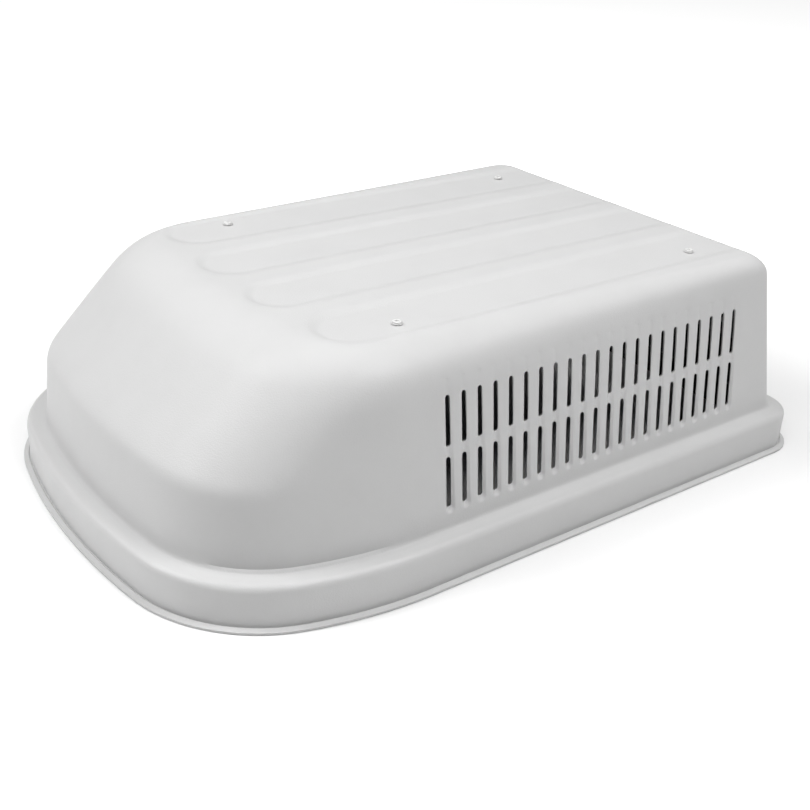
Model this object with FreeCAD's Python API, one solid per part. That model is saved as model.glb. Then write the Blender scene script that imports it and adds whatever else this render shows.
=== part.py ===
"""Moulded roof cover (shroud) for a motorhome's rooftop air conditioner, with its seals and fixings.

Millimetres.  The nose points to -X, the rear opening to +X, +Z is up, and the origin is the centre
of the base, on the underside of the flange.  The cover is one thin thermoformed shell.  Foam strips
are bonded inside it, and four captive screws with sealing washers hold it down.
"""
import FreeCAD, Part
import math
import os

V = FreeCAD.Vector

# ---------------------------------------------------------------- driving dimensions of the shell
LENGTH = 1006.0            # flange edge to flange edge, along X
WIDTH = 712.0              # flange edge to flange edge, along Y
HEIGHT = 284.0             # underside of the flange to the top of the ribs
SHEET = 3.0                # thickness of the moulded sheet
FLANGE = 9.0               # width of the flat outward flange
LEDGE = 26.5               # width of the ledge between skirt and wall
LEDGE_Z = 57.0             # height of the ledge
LEDGE_ROUND = 9.0          # rounding between skirt and ledge

BOW_R = 1024.0             # plan radius of the bowed nose, at the flange edge
BOW_ANGLE = math.radians(9.8)
CORNER_R = 200.0           # plan radius of the nose corners, at the flange edge
CORNER_ANGLE = math.radians(72.0)
REAR_R = 60.0              # plan radius of the rear corners, at the flange edge

SHOULDER_Z = 151.0         # height where the front wall turns into the sloped nose
SLOPE = math.radians(45.0)
SLOPE_ROUND = 116.0        # rounding between the sloped nose and the top
NOSE_DRAFT = 0.104         # lean of each wall, as inset per height
SIDE_DRAFT = 0.141
REAR_DRAFT = 0.115
ROUND_FRONT = 60.0         # rounding of the side top edge near the nose
ROUND_REAR = 24.0          # the same near the rear, and of the rear top edge
HIP_RATIO = 1.2            # blend radius over corner radius at the top of the hips

# ---------------------------------------------------------------- recessed panels between the ribs
RIB_PITCH = 126.0          # between the middles of neighbouring ribs
RIB_WIDTH = 44.0           # at half height
PANEL_DEPTH = 3.0
PANEL_SLOPE = 15.0         # width of the panels' sloped edges
BORDER_Y = 237.0           # inner edge of the raised side borders, at half height
INNER_PANEL_X = -224.0     # middle of the round front end of the two inner panels
OUTER_PANEL_X = -206.0     # the same of the two outer panels

# ---------------------------------------------------------------- louvres in both side walls
LOUVRES = 22
LOUVRE_PITCH = 24.0
LOUVRE_X = -143.0          # first column
SLOT_WIDTH = 7.0
SLOT_LENGTH = 64.5
SLOT_GAP = 13.0            # between the two rows
SLOT_Z = 82.0              # lower end of the lower row
FLUTE_R = 7.0              # radius of the groove that each column sits in
FLUTE_DEPTH = 4.5          # depth of the groove at its lower end; it fades out at its upper end
FLUTE_BELOW = 6.0          # groove below the lower slot
FLUTE_ABOVE = 14.0         # groove above the upper slot

# ---------------------------------------------------------------- rear opening
REAR_OPEN_Y = 235.0        # half width
REAR_OPEN_LOW = 168.0
REAR_OPEN_HIGH = 236.0
REAR_OPEN_R = 25.0

# ---------------------------------------------------------------- fixings
HOLE_GAP = 0.35            # radial gap of the screw in the shell
HOLE_Y = 208.0
HOLE_FRONT_X = -153.0
HOLE_REAR_X = 354.0
SCREW_D = 6.3              # over the thread
SHANK_D = 5.2              # plain shank between head and thread, which keeps the screw captive
BORE_GAP = 0.3             # radial gap of the screw in its washers
SEAT_GAP = 0.1             # gap that keeps the moving washers off the shell
SCREW_LENGTH = 30.0
THREAD_LENGTH = 17.0       # the free end below the pad
HEAD_D = 11.5
HEAD_H = 2.2
SOCKET_AF = 4.8            # across the flats of the hexagon socket
SOCKET_DEPTH = 1.6
WASHER_D = 14.0
WASHER_T = 0.8
SEAL_D = 13.0
SEAL_T = 1.0
PAD_D = 38.0
PAD_T = 8.0
PAD_GAP = 1.0              # radial gap of the screw in its pad
PAD_MARGIN = 2.0           # from the pads to the rounded top edge

# ---------------------------------------------------------------- foam strips
STRIP_W = 20.0             # bonded width of the strips round the rear opening
STRIP_T = 16.0             # free height of every strip
BULKHEAD_W = 14.0          # bonded width of the strips that meet the unit's bulkhead
BULKHEAD_GAP = 3.0         # between those strips and the front pads
STRIP_LOW_Z = 62.0
REAR_MARGIN = 5.0          # from the edge of the rear opening to its strips
TAPE = 0.5                 # adhesive tape between every strip and the shell

# ---------------------------------------------------------------- values that follow
REAR_X = LENGTH / 2.0
NOSE_X = -LENGTH / 2.0
FOOT = FLANGE + LEDGE                      # flange edge to the foot of the wall
PANEL_Z = HEIGHT - PANEL_DEPTH             # floor of the recessed panels
CEILING_Z = PANEL_Z - SHEET                # flat underside of the top
SLOT_TOP_Z = SLOT_Z + 2.0 * SLOT_LENGTH + SLOT_GAP
BULKHEAD_X = HOLE_FRONT_X - PAD_D / 2.0 - BULKHEAD_GAP - BULKHEAD_W
CEILING_Y = WIDTH / 2.0 - FOOT - SIDE_DRAFT * (CEILING_Z - LEDGE_Z)
SIDE_ROUND = min(ROUND_FRONT, CEILING_Y - HOLE_Y - PAD_D / 2.0 - PAD_MARGIN)
HOLE_D = SCREW_D + 2.0 * HOLE_GAP


def place(solid, x=0.0, y=0.0, z=0.0):
    moved = solid.copy()
    moved.translate(V(x, y, z))
    return moved


def mirror_y(solid):
    return solid.mirror(V(0, 0, 0), V(0, 1, 0))


def save(name, shape):
    shape.exportStep("parts/" + name + ".step")


# ================================================================ plan outlines
def arc(cx, cy, radius, start, end):
    """An arc of the near half of an outline; headings run from 0 at the nose to 180 degrees."""
    def point(heading):
        return V(cx - radius * math.cos(heading), cy - radius * math.sin(heading), 0)
    return [point(start), point((start + end) / 2.0), point(end)]


def blend_radius(bow, corner, half):
    """Radius of the arc that joins the nose corner to the straight side."""
    reach = bow * math.sin(BOW_ANGLE) + corner * (math.sin(CORNER_ANGLE) - math.sin(BOW_ANGLE))
    return (half - reach) / (1.0 - math.sin(CORNER_ANGLE))


def outline(z, nose, bow, corner, half_front, half_rear, rear, rear_r):
    """Closed wire at height z: bowed nose, two-stage corners, straight sides, round rear corners."""
    blend = blend_radius(bow, corner, half_front)
    arcs = [arc(nose + bow, 0.0, bow, 0.0, BOW_ANGLE)]
    cx = nose + bow - (bow - corner) * math.cos(BOW_ANGLE)
    cy = -(bow - corner) * math.sin(BOW_ANGLE)
    arcs.append(arc(cx, cy, corner, BOW_ANGLE, CORNER_ANGLE))
    cx = cx - (corner - blend) * math.cos(CORNER_ANGLE)
    cy = cy - (corner - blend) * math.sin(CORNER_ANGLE)
    taper = math.atan2(half_rear - half_front, rear - rear_r - cx)
    side = math.pi / 2.0 - taper
    arcs.append(arc(cx, cy, blend, CORNER_ANGLE, side))
    arcs.append(arc(rear - rear_r, rear_r - half_rear, rear_r, side, math.pi))
    bow_arc = arcs[0]
    tip = bow_arc[0]
    near_start = bow_arc[2]
    far_start = V(near_start.x, -near_start.y, 0)
    edges = [Part.Arc(far_start, tip, near_start).toShape()]
    near = []
    last = near_start
    for points in arcs[1:]:
        if points[0].distanceToPoint(last) > 1e-6:
            near.append(Part.LineSegment(last, points[0]).toShape())
        near.append(Part.Arc(*points).toShape())
        last = points[2]
    far = [edge.mirror(V(0, 0, 0), V(0, 1, 0)) for edge in near]
    rear_edge = Part.LineSegment(last, V(last.x, -last.y, 0)).toShape()
    wire = Part.Wire(Part.__sortEdges__(edges + near + [rear_edge] + far))
    wire.translate(V(0, 0, z))
    return wire


def base_outline(z, inset):
    """The flange's outline, moved inwards by inset."""
    half = WIDTH / 2.0 - inset
    return outline(z, NOSE_X + inset, BOW_R - inset, CORNER_R - inset, half, half,
                   REAR_X - inset, max(REAR_R - inset, SHEET))


def prism(wire, height):
    return Part.Face(wire).extrude(V(0, 0, height))


# ================================================================ walls, nose and top
def rounding(z, top, radius):
    """Inset of a rounded top edge at height z; it starts one radius below the top."""
    share = min(max((z - top + radius) / radius, 0.0), 1.0)
    return radius * (1.0 - math.sqrt(1.0 - share * share))


def nose_at(z, inset, top):
    """X of the nose's middle: leaning wall, 45 degree slope, then a round into the top."""
    shoulder = SHOULDER_Z - inset * math.tan(SLOPE / 2.0)
    wall = NOSE_X + FOOT + inset + NOSE_DRAFT * (min(z, shoulder) - LEDGE_Z)
    radius = SLOPE_ROUND - inset
    round_z = top - radius * (1.0 - math.cos(SLOPE))
    x = wall + (min(max(z, shoulder), round_z) - shoulder) / math.tan(SLOPE)
    if z > round_z:
        rise = z - (top - radius)
        x = x + radius * math.sin(SLOPE) - math.sqrt(max(radius * radius - rise * rise, 0.0))
    return x


def section(z, inset, top):
    """The cover's wall at height z, moved inwards by inset, under a top at height top."""
    rise = z - LEDGE_Z
    half = WIDTH / 2.0 - FOOT - inset - SIDE_DRAFT * rise
    half_front = half - rounding(z, top, SIDE_ROUND - inset)
    half_rear = half - rounding(z, top, ROUND_REAR - inset)
    rear = REAR_X - FOOT - inset - REAR_DRAFT * rise - rounding(z, top, ROUND_REAR - inset)
    bow = BOW_R - FOOT - inset - NOSE_DRAFT * (SHOULDER_Z - LEDGE_Z)
    corner = CORNER_R - FOOT - inset - SIDE_DRAFT * (min(z, SHOULDER_Z) - LEDGE_Z)
    start = top - SIDE_ROUND
    if z > start:
        half_start = WIDTH / 2.0 - FOOT - inset - SIDE_DRAFT * (start - LEDGE_Z)
        ratio = blend_radius(bow, corner, half_start) / corner
        ratio = ratio + (HIP_RATIO - ratio) * (z - start) / (top - start)
        spread = math.sin(CORNER_ANGLE) - math.sin(BOW_ANGLE) + ratio * (1.0 - math.sin(CORNER_ANGLE))
        corner = (half_front - bow * math.sin(BOW_ANGLE)) / spread
    rear_r = max(REAR_R - FOOT - inset, SHEET)
    return outline(z, nose_at(z, inset, top), bow, corner, half_front, half_rear, rear, rear_r)


def upper_body(inset, low, top):
    """Solid wall, nose and top from height low up to top, moved inwards by inset."""
    shoulder = SHOULDER_Z - inset * math.tan(SLOPE / 2.0)
    start = top - SIDE_ROUND
    steps = 9
    levels = [start + (top - start) * math.sin(math.pi / 2.0 * k / steps) for k in range(steps + 1)]
    wall = Part.makeLoft([section(low, inset, top), section(shoulder, inset, top)], True, True)
    slope = Part.makeLoft([section(shoulder, inset, top), section(start, inset, top)], True, True)
    crown = Part.makeLoft([section(z, inset, top) for z in levels], True, False)
    return wall.fuse([slope, crown])


def panel_tool(middle, half, x):
    """Cutter of one recessed panel: sloped sides, round front end, open at the rear."""
    rise = PANEL_DEPTH + 1.0
    low = half - PANEL_SLOPE / 2.0
    high = low + PANEL_SLOPE * rise / PANEL_DEPTH
    points = [V(x, middle - low, PANEL_Z), V(x, middle + low, PANEL_Z),
              V(x, middle + high, PANEL_Z + rise), V(x, middle - high, PANEL_Z + rise)]
    run = Part.Face(Part.makePolygon(points + points[:1])).extrude(V(REAR_X - x, 0, 0))
    end = Part.makeCone(low, high, rise, V(x, middle, PANEL_Z))
    return run.fuse(end)


def panel_tools():
    inner_half = (RIB_PITCH - RIB_WIDTH) / 2.0
    outer_low = RIB_PITCH + RIB_WIDTH / 2.0
    outer_middle = (outer_low + BORDER_Y) / 2.0
    outer_half = (BORDER_Y - outer_low) / 2.0
    tools = [panel_tool(RIB_PITCH / 2.0, inner_half, INNER_PANEL_X),
             panel_tool(outer_middle, outer_half, OUTER_PANEL_X)]
    return tools + [mirror_y(tool) for tool in tools]


# ================================================================ louvres
def wall_y(z):
    """Distance of the near side wall's outer face from the middle plane at height z."""
    return WIDTH / 2.0 - FOOT - SIDE_DRAFT * (z - LEDGE_Z)


def louvre_places():
    return [LOUVRE_X + k * LOUVRE_PITCH for k in range(LOUVRES)]


def flute(x, extra):
    """Groove of the near wall, its radius grown by extra; the lower end is a quarter ball."""
    lean = math.hypot(1.0, SIDE_DRAFT)
    low_z = SLOT_Z + FLUTE_R - FLUTE_BELOW
    high_z = SLOT_TOP_Z + FLUTE_ABOVE
    low = V(x, -wall_y(low_z) - (FLUTE_R - FLUTE_DEPTH) * lean, low_z)
    high = V(x, -wall_y(high_z) - FLUTE_R * lean, high_z)
    along = high - low
    body = Part.makeCylinder(FLUTE_R + extra, along.Length, low, along)
    ball = Part.makeSphere(FLUTE_R + extra, low)
    return body.fuse(ball)


def slot(x, z):
    """Upright round-ended cutter through the near wall."""
    half = SLOT_WIDTH / 2.0
    deep = -wall_y(z + SLOT_LENGTH) + 4.0 * FLUTE_R
    out = -wall_y(z) - FLUTE_R
    body = Part.makeBox(SLOT_WIDTH, deep - out, SLOT_LENGTH - SLOT_WIDTH, V(x - half, out, z + half))
    ends = [Part.makeCylinder(half, deep - out, V(x, out, z + end), V(0, 1, 0))
            for end in (half, SLOT_LENGTH - half)]
    return body.fuse(ends)


# ================================================================ the shell
def rear_cutter():
    """Round-cornered cutter of the rear opening."""
    depth = FOOT + REAR_DRAFT * HEIGHT + 2.0 * SHEET + STRIP_T
    box = Part.makeBox(depth, 2.0 * REAR_OPEN_Y, REAR_OPEN_HIGH - REAR_OPEN_LOW,
                       V(REAR_X - depth, -REAR_OPEN_Y, REAR_OPEN_LOW))
    along = [edge for edge in box.Edges if abs(edge.tangentAt(edge.FirstParameter).x) > 0.9]
    return box.makeFillet(REAR_OPEN_R, along)


def skirt_body(inset, low, top):
    """Solid inside the skirt, up to the ledge, with the ledge's outer edge rounded."""
    solid = prism(base_outline(low, FLANGE + inset), top - low)
    rim = [edge for edge in solid.Edges if edge.BoundBox.ZMin > top - 1e-3]
    return solid.makeFillet(LEDGE_ROUND - inset, rim)


def screw_places():
    return [(x, y) for x in (HOLE_FRONT_X, HOLE_REAR_X) for y in (-HOLE_Y, HOLE_Y)]


def shell():
    flange = prism(base_outline(0.0, 0.0), SHEET)
    outer = upper_body(0.0, LEDGE_Z - LEDGE_ROUND, HEIGHT)
    outer = outer.fuse([skirt_body(0.0, 0.0, LEDGE_Z), flange])
    near = [flute(x, 0.0) for x in louvre_places()]
    outer = outer.cut(near + [mirror_y(tool) for tool in near] + panel_tools())
    inner = upper_body(SHEET, LEDGE_Z - LEDGE_ROUND - SHEET, CEILING_Z)
    inner = inner.fuse(skirt_body(SHEET, -SHEET, LEDGE_Z - SHEET))
    bosses = [flute(x, SHEET) for x in louvre_places()]
    inner = inner.cut(bosses + [mirror_y(tool) for tool in bosses])
    slots = [slot(x, z) for x in louvre_places() for z in (SLOT_Z, SLOT_Z + SLOT_LENGTH + SLOT_GAP)]
    slots = slots + [mirror_y(tool) for tool in slots]
    holes = [Part.makeCylinder(HOLE_D / 2.0, HEIGHT, V(x, y, HEIGHT / 2.0)) for x, y in screw_places()]
    return outer.cut(inner).cut(slots + holes + [rear_cutter()])


# ================================================================ fixings
def ring(outer_d, inner_d, thick):
    disc = Part.makeCylinder(outer_d / 2.0, thick)
    return disc.cut(Part.makeCylinder(inner_d / 2.0, thick))


def screw():
    """Flat round head with a hexagon socket; the underside of the head is at height 0."""
    head = Part.makeCylinder(HEAD_D / 2.0, HEAD_H)
    rim = [edge for edge in head.Edges if edge.BoundBox.ZMin > HEAD_H - 1e-3]
    head = head.makeFillet(HEAD_H * 0.4, rim)
    corner = SOCKET_AF / math.sqrt(3.0)
    points = [V(corner * math.cos(math.radians(60 * k)), corner * math.sin(math.radians(60 * k)),
                HEAD_H - SOCKET_DEPTH) for k in range(7)]
    socket = Part.Face(Part.makePolygon(points)).extrude(V(0, 0, HEAD_H))
    shank = Part.makeCylinder(SHANK_D / 2.0, SCREW_LENGTH - THREAD_LENGTH / 2.0,
                              V(0, 0, THREAD_LENGTH / 2.0 - SCREW_LENGTH))
    thread = Part.makeCylinder(SCREW_D / 2.0, THREAD_LENGTH, V(0, 0, -SCREW_LENGTH))
    tip = [edge for edge in thread.Edges if edge.BoundBox.ZMax < 1e-3 - SCREW_LENGTH]
    thread = thread.makeChamfer(SCREW_D * 0.15, tip)
    return head.cut(socket).fuse([shank, thread])


def fixings():
    """One screw, steel washer, sealing washer and pad at each hole."""
    bore = SCREW_D + 2.0 * BORE_GAP
    seal_z = PANEL_Z + SEAT_GAP
    washer_z = seal_z + SEAL_T
    head_z = washer_z + WASHER_T
    names = ["front_near", "front_far", "rear_near", "rear_far"]
    for name, (x, y) in zip(names, screw_places()):
        save("sealing_washer_" + name, place(ring(SEAL_D, bore, SEAL_T), x, y, seal_z))
        save("steel_washer_" + name, place(ring(WASHER_D, bore, WASHER_T), x, y, washer_z))
        save("screw_" + name, place(screw(), x, y, head_z + SEAT_GAP))
        pad = ring(PAD_D, SCREW_D + 2.0 * PAD_GAP, PAD_T)
        save("bracket_pad_" + name, place(pad, x, y, CEILING_Z - PAD_T))


# ================================================================ foam strips
def bulkhead_seals():
    """Three strips across the inside, ahead of the louvres; each lies on a flat part of the shell."""
    high_z = CEILING_Z - SIDE_ROUND + SHEET
    low_y = -wall_y(STRIP_LOW_Z) + SHEET + TAPE
    high_y = -wall_y(high_z) + SHEET + TAPE
    points = [V(BULKHEAD_X, low_y, STRIP_LOW_Z), V(BULKHEAD_X, low_y + STRIP_T, STRIP_LOW_Z),
              V(BULKHEAD_X, high_y + STRIP_T, high_z), V(BULKHEAD_X, high_y, high_z)]
    near = Part.Face(Part.makePolygon(points + points[:1])).extrude(V(BULKHEAD_W, 0, 0))
    ceiling = Part.Face(section(CEILING_Z, SHEET, CEILING_Z))
    across = Part.makeLine(V(BULKHEAD_X, 0, CEILING_Z), V(BULKHEAD_X, WIDTH, CEILING_Z))
    half = ceiling.common(across).BoundBox.YMax - SHEET
    top = Part.makeBox(BULKHEAD_W, 2.0 * half, STRIP_T,
                       V(BULKHEAD_X, -half, CEILING_Z - TAPE - STRIP_T))
    return {"bulkhead_seal_near": near, "bulkhead_seal_far": mirror_y(near), "bulkhead_seal_top": top}


def rear_strip(y_low, y_high, z_low, z_high):
    """Strip bonded to the inner face of the leaning rear wall."""
    def inner_x(z):
        return REAR_X - FOOT - SHEET - TAPE - REAR_DRAFT * (z - LEDGE_Z)
    points = [V(inner_x(z_low), y_low, z_low), V(inner_x(z_high), y_low, z_high),
              V(inner_x(z_high) - STRIP_T, y_low, z_high), V(inner_x(z_low) - STRIP_T, y_low, z_low)]
    return Part.Face(Part.makePolygon(points + points[:1])).extrude(V(0, y_high - y_low, 0))


def rear_seals():
    """Four strips round the rear opening, against the unit's condenser frame."""
    inner = REAR_OPEN_Y + REAR_MARGIN
    outer = inner + STRIP_W
    low = REAR_OPEN_LOW - REAR_MARGIN
    high = REAR_OPEN_HIGH + REAR_MARGIN
    side = rear_strip(-outer, -inner, low - STRIP_W, high)
    return {"rear_seal_near": side, "rear_seal_far": mirror_y(side),
            "rear_seal_bottom": rear_strip(-inner, inner, low - STRIP_W, low),
            "rear_seal_top": rear_strip(-inner, inner, high, high + STRIP_T)}


def main():
    os.makedirs("parts", exist_ok=True)
    save("shroud_shell", shell())
    fixings()
    for name, solid in list(bulkhead_seals().items()) + list(rear_seals().items()):
        save(name, solid)


main()
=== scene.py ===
"""Looks of a moulded rooftop cover: its white shell, foam strips and captive screws.

Everything is in metres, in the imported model's frame: the nose points to -X, the near louvred side
is -Y, +Z is up, and the origin is under the middle of the base.
"""
import math

import bmesh
import bpy
from bpy.props import FloatProperty, FloatVectorProperty, IntProperty, PointerProperty
from mathutils import Matrix, Vector


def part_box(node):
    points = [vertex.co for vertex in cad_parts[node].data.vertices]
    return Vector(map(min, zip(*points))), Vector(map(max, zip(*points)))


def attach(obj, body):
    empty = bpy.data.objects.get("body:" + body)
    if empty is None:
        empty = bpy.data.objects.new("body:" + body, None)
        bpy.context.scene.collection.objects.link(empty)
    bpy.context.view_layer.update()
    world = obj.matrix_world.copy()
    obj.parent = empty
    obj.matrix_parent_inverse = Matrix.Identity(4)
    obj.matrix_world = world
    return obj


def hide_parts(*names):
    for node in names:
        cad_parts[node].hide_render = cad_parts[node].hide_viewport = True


bl_info = {
    "name": "Rooftop cover maker",
    "version": (1, 0, 0),
    "blender": (4, 5, 0),
    "location": "3D View > Sidebar > Cover",
    "description": "Builds the moulded shell of a rooftop cover, its seals and its fixings",
    "category": "Add Mesh",
}

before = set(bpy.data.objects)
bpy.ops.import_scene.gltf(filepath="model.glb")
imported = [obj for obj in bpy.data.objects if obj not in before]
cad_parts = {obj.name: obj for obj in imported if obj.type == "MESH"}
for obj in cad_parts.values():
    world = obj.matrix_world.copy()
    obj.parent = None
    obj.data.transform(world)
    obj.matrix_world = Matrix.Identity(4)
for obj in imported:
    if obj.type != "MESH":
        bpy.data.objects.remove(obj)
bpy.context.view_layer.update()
SHELL_LOW, SHELL_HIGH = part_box("shroud_shell")
CORNERS = ("front_near", "front_far", "rear_near", "rear_far")


def middle(node):
    """Middle of a CAD node's box."""
    low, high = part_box(node)
    return (low + high) / 2.0


def to_mesh(bm, name):
    """New mesh from bm, which is then freed."""
    mesh = bpy.data.meshes.new(name)
    bm.to_mesh(mesh)
    bm.free()
    return mesh


def add_object(name, data):
    """New object in the scene."""
    obj = bpy.data.objects.new(name, data)
    bpy.context.scene.collection.objects.link(obj)
    return obj


def evaluated_mesh(obj):
    """Mesh of obj with its modifiers applied."""
    bpy.context.view_layer.update()
    graph = bpy.context.evaluated_depsgraph_get()
    return bpy.data.meshes.new_from_object(obj.evaluated_get(graph))


# ======== settings
def length(name, default, description):
    return FloatProperty(name=name, description=description, default=default,
                         subtype="DISTANCE", unit="LENGTH", precision=4)


def angle(name, degrees, description):
    return FloatProperty(name=name, description=description, default=math.radians(degrees),
                         subtype="ANGLE", unit="ROTATION")


def colour(name, default, description):
    return FloatVectorProperty(name=name, description=description, default=default,
                               subtype="COLOR", size=3, min=0.0, max=1.0)


class CoverShellSettings(bpy.types.PropertyGroup):
    """Sizes of the moulded shell."""
    sheet: length("Sheet", 0.003, "Thickness of the moulded sheet")
    flange: length("Flange", 0.009, "Width of the flat outward flange")
    flange_root: length("Flange root", 0.003, "Radius between flange and skirt")
    ledge: length("Ledge", 0.0265, "Width of the ledge between skirt and wall")
    ledge_z: length("Ledge height", 0.057, "Height of the ledge")
    ledge_round: length("Ledge round", 0.009, "Radius between skirt and ledge")
    ledge_root: length("Ledge root", 0.0045, "Radius between ledge and wall")
    bow: length("Nose bow", 1.024, "Plan radius of the bowed nose at the flange")
    bow_turn: angle("Bow turn", 9.8, "Turn of the bow on each side of the middle")
    corner: length("Nose corner", 0.2, "Plan radius of the nose corners at the flange")
    corner_turn: angle("Corner turn", 72.0, "Heading where the corner turns into the side blend")
    rear_corner: length("Rear corner", 0.06, "Plan radius of the rear corners at the flange")
    shoulder_z: length("Shoulder height", 0.151, "Height where the front wall turns into the slope")
    shoulder_soft: length("Shoulder softness", 0.0035, "Softness of that turn")
    slope: angle("Nose slope", 45.0, "Angle of the sloped nose")
    slope_round: length("Slope round", 0.116, "Radius between the sloped nose and the top")
    nose_draft: FloatProperty(name="Nose draft", description="Inset of the nose wall per height",
                              default=0.104)
    side_draft: FloatProperty(name="Side draft", description="Inset of the side walls per height",
                              default=0.141)
    rear_draft: FloatProperty(name="Rear draft", description="Inset of the rear wall per height",
                              default=0.115)
    round_front: length("Front edge round", 0.06, "Top edge radius of the sides at the nose")
    round_rear: length("Rear edge round", 0.024, "Top edge radius of the sides at the rear")
    hip_ratio: FloatProperty(name="Hip ratio", description="Blend over corner radius at the top",
                             default=1.2)


class CoverPanelSettings(bpy.types.PropertyGroup):
    """Sizes of the recessed panels between the ribs, and of the rear opening."""
    rib_pitch: length("Rib pitch", 0.126, "Between the middles of neighbouring ribs")
    rib_width: length("Rib width", 0.044, "Width of a rib at half height")
    depth: length("Panel depth", 0.003, "Depth of the recessed panels")
    edge: length("Panel edge", 0.015, "Width of the panels' sloped edges")
    border: length("Border", 0.237, "Inner edge of the side borders from the middle")
    inner_x: length("Inner panels", -0.224, "Middle of the inner panels' round front ends")
    outer_x: length("Outer panels", -0.206, "Middle of the outer panels' round front ends")
    open_half: length("Opening half width", 0.235, "Half width of the rear opening")
    open_low: length("Opening low", 0.168, "Lower edge of the rear opening")
    open_high: length("Opening high", 0.236, "Upper edge of the rear opening")
    open_corner: length("Opening corner", 0.025, "Corner radius of the rear opening")


class CoverLouvreSettings(bpy.types.PropertyGroup):
    """Sizes of the louvres."""
    count: IntProperty(name="Columns", description="Louvre columns in each side", default=22, min=1)
    pitch: length("Pitch", 0.024, "Between neighbouring columns")
    first: length("First column", -0.143, "Place of the first column along the cover")
    slot_width: length("Slot width", 0.007, "Width of a slot")
    slot_length: length("Slot length", 0.0645, "Length of a slot")
    slot_gap: length("Slot gap", 0.013, "Between the upper and the lower slot")
    slot_z: length("Slot height", 0.082, "Lower end of the lower slots")
    flute: length("Flute radius", 0.007, "Radius of the groove that a column sits in")
    flute_depth: length("Flute depth", 0.0045, "Depth of the groove at its lower end")
    flute_below: length("Flute below", 0.006, "Groove below the lower slot")
    flute_above: length("Flute above", 0.014, "Groove above the upper slot")
    soft: length("Flute softness", 0.0012, "Softness of the groove's edges")


class CoverFixingSettings(bpy.types.PropertyGroup):
    """Sizes of the screws that aren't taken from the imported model."""
    thread_pitch: length("Thread pitch", 0.00127, "Advance of the screw in one turn")
    thread_depth: length("Thread depth", 0.0006, "Height of the thread's ridge")
    thread_length: length("Thread length", 0.017, "Length of the threaded free end")
    thread: length("Thread radius", 0.00315, "Radius over the thread")
    socket: length("Socket", 0.0048, "Width across the flats of the hexagon socket")
    socket_depth: length("Socket depth", 0.0016, "Depth of the hexagon socket")
    hole: length("Screw hole", 0.0035, "Radius of the screw holes in the top")
    bore: length("Washer bore", 0.00345, "Radius of the bore in both washers")
    pad_bore: length("Pad bore", 0.00415, "Radius of the bore in the pads")
    seat: length("Seat", 0.0001, "Gap between a screw's head and its washer")
    sides: IntProperty(name="Sides", description="Points round each turned part", default=48, min=12)


class CoverFinishSettings(bpy.types.PropertyGroup):
    """Colours of the finishes."""
    plastic: colour("Plastic", (0.60, 0.60, 0.60), "White moulded sheet")
    # Near-black back of the sheet: a black-backed sheet, its darkness also painted shade for the inside
    # of the shell seen through the slots and opening.
    back_and_inner_shade: colour("Backing", (0.012, 0.012, 0.013), "Dark back of the moulded sheet")
    coating: colour("Coating", (0.74, 0.74, 0.735), "Powder coat of the screws")
    washer: colour("Washer coating", (0.66, 0.66, 0.655), "Coat of the steel washers")
    # Painted shade: the near-black colour of the screws' socket recess stands in for the shade inside the
    # socket.
    recess: colour("Socket recess", (0.03, 0.03, 0.032), "Dark oxide in the screws' sockets")
    pale_rubber: colour("Pale rubber", (0.55, 0.55, 0.54), "Sealing washers")
    black_rubber: colour("Black rubber", (0.02, 0.02, 0.021), "Bracket pads")
    foam: colour("Foam", (0.045, 0.046, 0.05), "Foam strips")
    floor: colour("Floor", (0.93, 0.93, 0.93), "Studio floor")
    # Painted light: emission added to the floor far from the cover, standing in for lamplight on a paper
    # sweep.
    floor_painted_light: FloatProperty(name="Floor glow", description="Brightness added far from the cover",
                              default=0.85)


# ======== plan outlines
class Outline:
    """Near half of a closed plan outline, from the nose's middle round to the rear's middle."""

    def __init__(self, nose, bow, corner, half_front, half_rear, rear, rear_r):
        s = bpy.context.scene.cover_shell
        self.nose, self.bow, self.corner = nose, bow, corner
        self.rear, self.rear_r, self.half_rear = rear, rear_r, half_rear
        self.turn = (s.bow_turn, s.corner_turn)
        sines = [math.sin(t) for t in self.turn]
        reach = bow * sines[0] + corner * (sines[1] - sines[0])
        self.blend = (half_front - reach) / (1.0 - sines[1])
        self.corner_at = (nose + bow - (bow - corner) * math.cos(self.turn[0]),
                          -(bow - corner) * sines[0])
        self.blend_at = (self.corner_at[0] - (corner - self.blend) * math.cos(self.turn[1]),
                         self.corner_at[1] - (corner - self.blend) * sines[1])
        self.taper = math.atan2(half_rear - half_front, rear - rear_r - self.blend_at[0])
        self.side = math.pi / 2.0 - self.taper

    def front(self, heading):
        """Point where the outline of the nose has this heading."""
        if heading <= self.turn[0]:
            centre, radius = (self.nose + self.bow, 0.0), self.bow
        elif heading <= self.turn[1]:
            centre, radius = self.corner_at, self.corner
        else:
            centre, radius = self.blend_at, self.blend
        return (centre[0] - radius * math.cos(heading), centre[1] - radius * math.sin(heading))

    def rear_arc(self, heading):
        """Point where the outline of the rear corner has this heading."""
        return (self.rear - self.rear_r - self.rear_r * math.cos(heading),
                self.rear_r - self.half_rear - self.rear_r * math.sin(heading))

    def side_at(self, x):
        """Point of the straight side at x."""
        start = self.front(self.side)
        return (x, start[1] - (x - start[0]) * math.tan(self.taper))


# Steps of the half outline: nose bow, corner to its middle, corner, blend, side, louvres, side, rear.
BOW_STEPS, CORNER_STEPS = 36, 12
CORNER_STEPS_2, BLEND_STEPS, LEAD_STEPS = 8, 8, 3
TAIL_STEPS, REAR_TURN_STEPS, REAR_STEPS = 5, 4, 44
HALF_TURN = math.radians(45.0)


def side_columns():
    """X of the columns of points in the louvred stretch of the side, two per louvre."""
    v = bpy.context.scene.cover_louvres
    start = v.first - v.pitch / 2.0
    return [start + v.pitch / 2.0 * k for k in range(2 * v.count + 1)]


def spread(low, high, steps):
    """Values after low, up to and with high, in equal steps."""
    return [low + (high - low) * k / steps for k in range(1, steps + 1)]


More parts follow.
